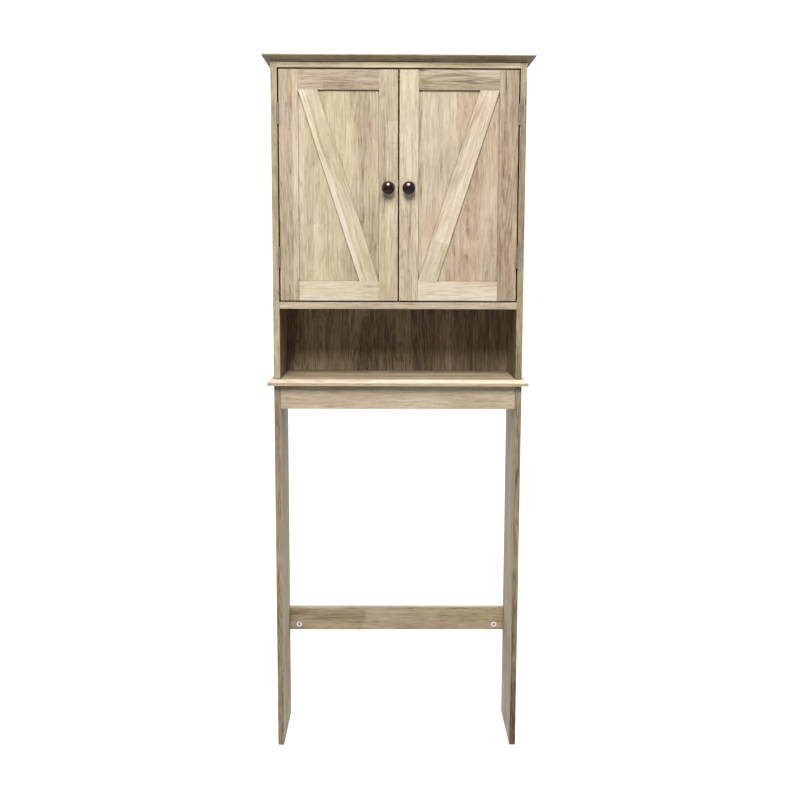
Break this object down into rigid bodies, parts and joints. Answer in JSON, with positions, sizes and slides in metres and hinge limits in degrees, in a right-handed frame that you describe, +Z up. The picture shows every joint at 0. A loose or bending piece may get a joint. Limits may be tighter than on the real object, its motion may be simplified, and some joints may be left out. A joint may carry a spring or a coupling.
{
  "type": "over-the-toilet storage cabinet",
  "caption": "Tall free-standing bathroom cabinet on two board legs, with an open niche and a cupboard closed by hinged barn-style doors with diagonal braces.",
  "frame": {"origin": "middle of the bounding box at floor level, under the foot glides", "axes": "+X to the right seen from the front, -Y to the front (door side), +Y to the wall, +Z up"},
  "size_m": [0.638, 0.231, 1.694],
  "materials": {
    "carcass_laminate": "printed rustic oak laminate, matt",
    "door_laminate": "printed rustic oak laminate, matt",
    "back_laminate": "printed rustic oak foil on thin board",
    "dark_bronze": "oil-rubbed bronze, satin",
    "hinge_metal": "antique bronze plating",
    "zinc": "bright zinc plating",
    "cam_alloy": "cast zinc",
    "magnet_steel": "ground steel",
    "dowel_beech": "plain beech",
    "brown_plastic": "moulded",
    "white_plastic": "moulded"
  },
  "bodies": {
    "cabinet": {"cornice_board": "carcass_laminate", "top_panel": "carcass_laminate", "left_upper_side": "carcass_laminate", "right_upper_side": "carcass_laminate", "middle_shelf": "carcass_laminate", "base_board": "carcass_laminate", "left_leg": "carcass_laminate", "right_leg": "carcass_laminate", "apron": "carcass_laminate", "stretcher": "carcass_laminate", "back_panel": "back_laminate", "shelf_pins": "zinc", "cam_locks": "cam_alloy", "cam_bolts": "zinc", "base_bolts": "zinc", "dowels": "dowel_beech", "cornice_screws": "zinc", "hinge_frame_leaves": "hinge_metal", "hinge_pins": "hinge_metal", "hinge_frame_screws": "hinge_metal", "catch_body": "brown_plastic", "catch_magnets": "magnet_steel", "catch_screws": "zinc", "foot_glides": "white_plastic", "wall_brackets": "zinc", "wall_bracket_screws": "zinc"},
    "left_door": {"left_door_panel": "door_laminate", "left_hinge_stile": "door_laminate", "left_meeting_stile": "door_laminate", "left_top_rail": "door_laminate", "left_bottom_rail": "door_laminate", "left_brace": "door_laminate", "left_knob": "dark_bronze", "left_knob_screw": "zinc", "left_hinge_leaves": "hinge_metal", "left_hinge_screws": "hinge_metal", "left_strike_plate": "zinc", "left_strike_screw": "zinc"},
    "right_door": {"right_door_panel": "door_laminate", "right_hinge_stile": "door_laminate", "right_meeting_stile": "door_laminate", "right_top_rail": "door_laminate", "right_bottom_rail": "door_laminate", "right_brace": "door_laminate", "right_knob": "dark_bronze", "right_knob_screw": "zinc", "right_hinge_leaves": "hinge_metal", "right_hinge_screws": "hinge_metal", "right_strike_plate": "zinc", "right_strike_screw": "zinc"},
    "loose_shelf": {"adjustable_shelf": "carcass_laminate"}
  },
  "joints": [
    {"name": "left_door_hinge", "type": "hinge", "parent": "cabinet", "child": "left_door", "pos_m": [-0.28325, -0.093, 1.3935], "axis": [0, 0, -1], "range_deg": [0, 175]},
    {"name": "right_door_hinge", "type": "hinge", "parent": "cabinet", "child": "right_door", "pos_m": [0.28325, -0.093, 1.3935], "axis": [0, 0, 1], "range_deg": [0, 175]},
    {"name": "shelf_lift", "type": "slide", "parent": "cabinet", "child": "loose_shelf", "axis": [0, 0, 1], "range_m": [0, 0.2]}
  ]
}
